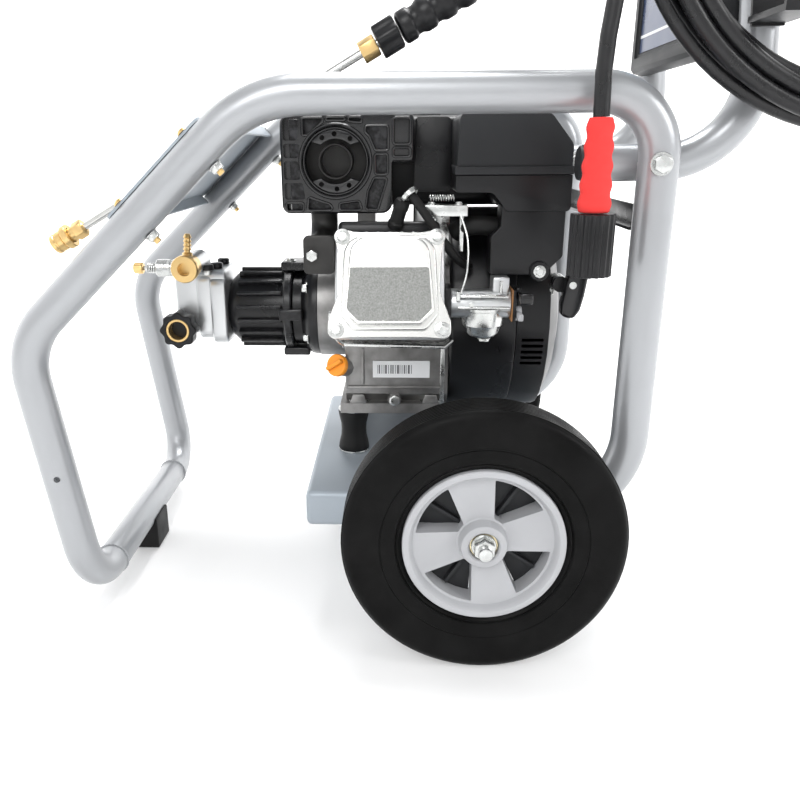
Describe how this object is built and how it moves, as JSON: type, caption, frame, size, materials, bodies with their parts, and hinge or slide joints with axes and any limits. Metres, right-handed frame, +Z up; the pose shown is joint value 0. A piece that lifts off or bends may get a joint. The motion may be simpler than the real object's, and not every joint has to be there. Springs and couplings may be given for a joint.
{
  "type": "petrol pressure washer",
  "caption": "Wheeled petrol pressure washer: bent-tube cart, horizontal-shaft engine driving an axial pump, hose on a side hook, lance with trigger gun.",
  "frame": {"origin": "on the ground, below the middle of the cart's overall box without its hose", "axes": "+X to the rear, where the handle is; +Y to the far side, away from the hose hook and the valve cover; +Z up"},
  "size_m": [0.941, 0.512, 0.9454],
  "materials": {
    "black_cast": "black powder coat on a casting",
    "black_paint": "semi-matt black paint",
    "black_plastic": "fine-grained black moulding",
    "brass": "turned and plated yellow",
    "cast_aluminium": "fine cast skin",
    "dark_plastic": "charcoal moulding",
    "dark_steel": "heat-darkened",
    "grey_plastic": "mid-grey moulding",
    "grey_sheet": "satin grey paint on sheet steel",
    "orange_plastic": "gloss orange moulding",
    "red_rubber": "satin red moulding",
    "rubber": "matt black",
    "silver_paint": "satin silver paint",
    "zinc": "bright zinc plate"
  },
  "bodies": {
    "machine": {"air_cleaner_base": "black_plastic", "air_cleaner_cover": "black_plastic", "axle": "zinc", "carburettor": "zinc", "crankcase": "cast_aluminium", "cross_plate": "black_paint", "cylinder": "cast_aluminium", "engine_mount_1": "rubber", "engine_mount_2": "rubber", "engine_mount_3": "rubber", "engine_mount_4": "rubber", "engine_tray": "grey_sheet", "fan_housing": "black_cast", "foot_pad": "rubber", "frame_side_far": "silver_paint", "frame_side_near": "silver_paint", "front_foot_tube": "silver_paint", "fuel_tank": "black_paint", "gun_body": "black_plastic", "handle_bolt_far": "zinc", "handle_bolt_near": "zinc", "heat_shield": "black_paint", "lance": "brass", "muffler": "dark_steel", "muffler_guard": "black_cast", "nozzle_panel": "grey_sheet", "pump_head": "cast_aluminium", "pump_housing": "black_cast", "pump_outlet": "brass", "recoil_cover": "black_plastic", "spark_plug_lead": "rubber", "throttle_bracket": "zinc", "unloader": "zinc", "valve_cover": "cast_aluminium"},
    "wheel_near": {"wheel_rim_near": "grey_plastic", "wheel_tyre_near": "rubber"},
    "wheel_far": {"wheel_rim_far": "grey_plastic", "wheel_tyre_far": "rubber"},
    "handle": {"handle_tube": "silver_paint", "label_box": "black_plastic", "hose_hook": "black_plastic", "hose_coil": "rubber", "hose_run": "rubber", "hose_sleeve": "red_rubber", "hose_gun_fitting": "brass"},
    "hose_coupling": {"hose_coupling": "black_plastic"},
    "recoil_grip": {"recoil_grip": "black_plastic"},
    "crankshaft": {"crankshaft_flywheel": "dark_steel"},
    "fuel_cap": {"fuel_cap": "dark_plastic"},
    "oil_filler_cap": {"oil_filler_cap": "orange_plastic"},
    "choke_lever": {"choke_lever": "black_plastic"},
    "fuel_valve_lever": {"fuel_valve_lever": "grey_plastic"},
    "throttle_lever": {"throttle_lever": "zinc"},
    "engine_switch": {"engine_switch": "dark_plastic"},
    "unloader_knob": {"unloader_knob": "brass"},
    "inlet_swivel": {"inlet_swivel": "black_plastic"},
    "coupler_collar": {"coupler_collar": "brass"},
    "lance_nut": {"lance_nut": "black_plastic"},
    "trigger": {"trigger": "black_plastic"},
    "trigger_latch": {"trigger_latch": "orange_plastic"}
  },
  "joints": [
    {"name": "wheel_near_spin", "type": "hinge", "parent": "machine", "child": "wheel_near", "pos_m": [0.057, -0.219, 0.127], "axis": [0, 1, 0], "continuous": true},
    {"name": "wheel_far_spin", "type": "hinge", "parent": "machine", "child": "wheel_far", "pos_m": [0.057, 0.219, 0.127], "axis": [0, 1, 0], "continuous": true},
    {"name": "handle_fold", "type": "hinge", "parent": "machine", "child": "handle", "pos_m": [0.1905, 0, 0.448], "axis": [0, 1, 0], "range_deg": [0, 50]},
    {"name": "hose_coupling_turn", "type": "hinge", "parent": "handle", "child": "hose_coupling", "pos_m": [0.135, -0.211, 0.3615], "axis": [0, 0, 1], "continuous": true},
    {"name": "recoil_pull", "type": "slide", "parent": "machine", "child": "recoil_grip", "axis": [0, -0.9659, -0.2588], "range_m": [0, 0.6], "stiffness_N_per_m": 12, "springref_m": -0.4},
    {"name": "crank_spin", "type": "hinge", "parent": "machine", "child": "crankshaft", "pos_m": [-0.011, 0.035, 0.287], "axis": [1, 0, 0], "continuous": true},
    {"name": "fuel_cap_turn", "type": "hinge", "parent": "machine", "child": "fuel_cap", "pos_m": [0.001, 0.09, 0.494], "axis": [0, 0, 1], "range_deg": [0, 90]},
    {"name": "oil_cap_turn", "type": "hinge", "parent": "machine", "child": "oil_filler_cap", "pos_m": [-0.0815, -0.068, 0.2445], "axis": [-0.4542, -0.8357, 0.3088], "continuous": true},
    {"name": "choke_turn", "type": "hinge", "parent": "machine", "child": "choke_lever", "pos_m": [0.0931, -0.106, 0.3275], "axis": [-1, 0, 0], "range_deg": [0, 60]},
    {"name": "fuel_valve_turn", "type": "hinge", "parent": "machine", "child": "fuel_valve_lever", "pos_m": [0.0931, -0.106, 0.3085], "axis": [1, 0, 0], "range_deg": [0, 85]},
    {"name": "throttle_turn", "type": "hinge", "parent": "machine", "child": "throttle_lever", "pos_m": [0.016, -0.0455, 0.392], "axis": [0, 1, 0], "range_deg": [-20, 20]},
    {"name": "engine_switch_turn", "type": "hinge", "parent": "machine", "child": "engine_switch", "pos_m": [0.069, 0.1473, 0.287], "axis": [0, 1, 0], "range_deg": [0, 60]},
    {"name": "unloader_turn", "type": "hinge", "parent": "machine", "child": "unloader_knob", "pos_m": [-0.3116, 0.029, 0.3325], "axis": [1, 0, 0], "continuous": true},
    {"name": "inlet_swivel_turn", "type": "hinge", "parent": "machine", "child": "inlet_swivel", "pos_m": [-0.261, -0.0103, 0.2725], "axis": [0, 1, 0], "continuous": true},
    {"name": "coupler_collar_slide", "type": "slide", "parent": "machine", "child": "coupler_collar", "axis": [0.8729, 0, 0.4879], "range_m": [0, 0.0045], "stiffness_N_per_m": 800, "springref_m": -0.004},
    {"name": "lance_nut_turn", "type": "hinge", "parent": "machine", "child": "lance_nut", "pos_m": [-0.0296, -0.14, 0.54994], "axis": [0.8729, 0, 0.4879], "continuous": true},
    {"name": "trigger_pull", "type": "hinge", "parent": "machine", "child": "trigger", "pos_m": [0.15335, -0.14, 0.67968], "axis": [0, 1, 0], "range_deg": [0, 18], "stiffness_Nm_per_rad": 0.4, "springref_deg": -20.05},
    {"name": "trigger_latch_turn", "type": "hinge", "parent": "machine", "child": "trigger_latch", "pos_m": [0.14053, -0.14, 0.74606], "axis": [0, 1, 0], "range_deg": [-80, 0]}
  ]
}
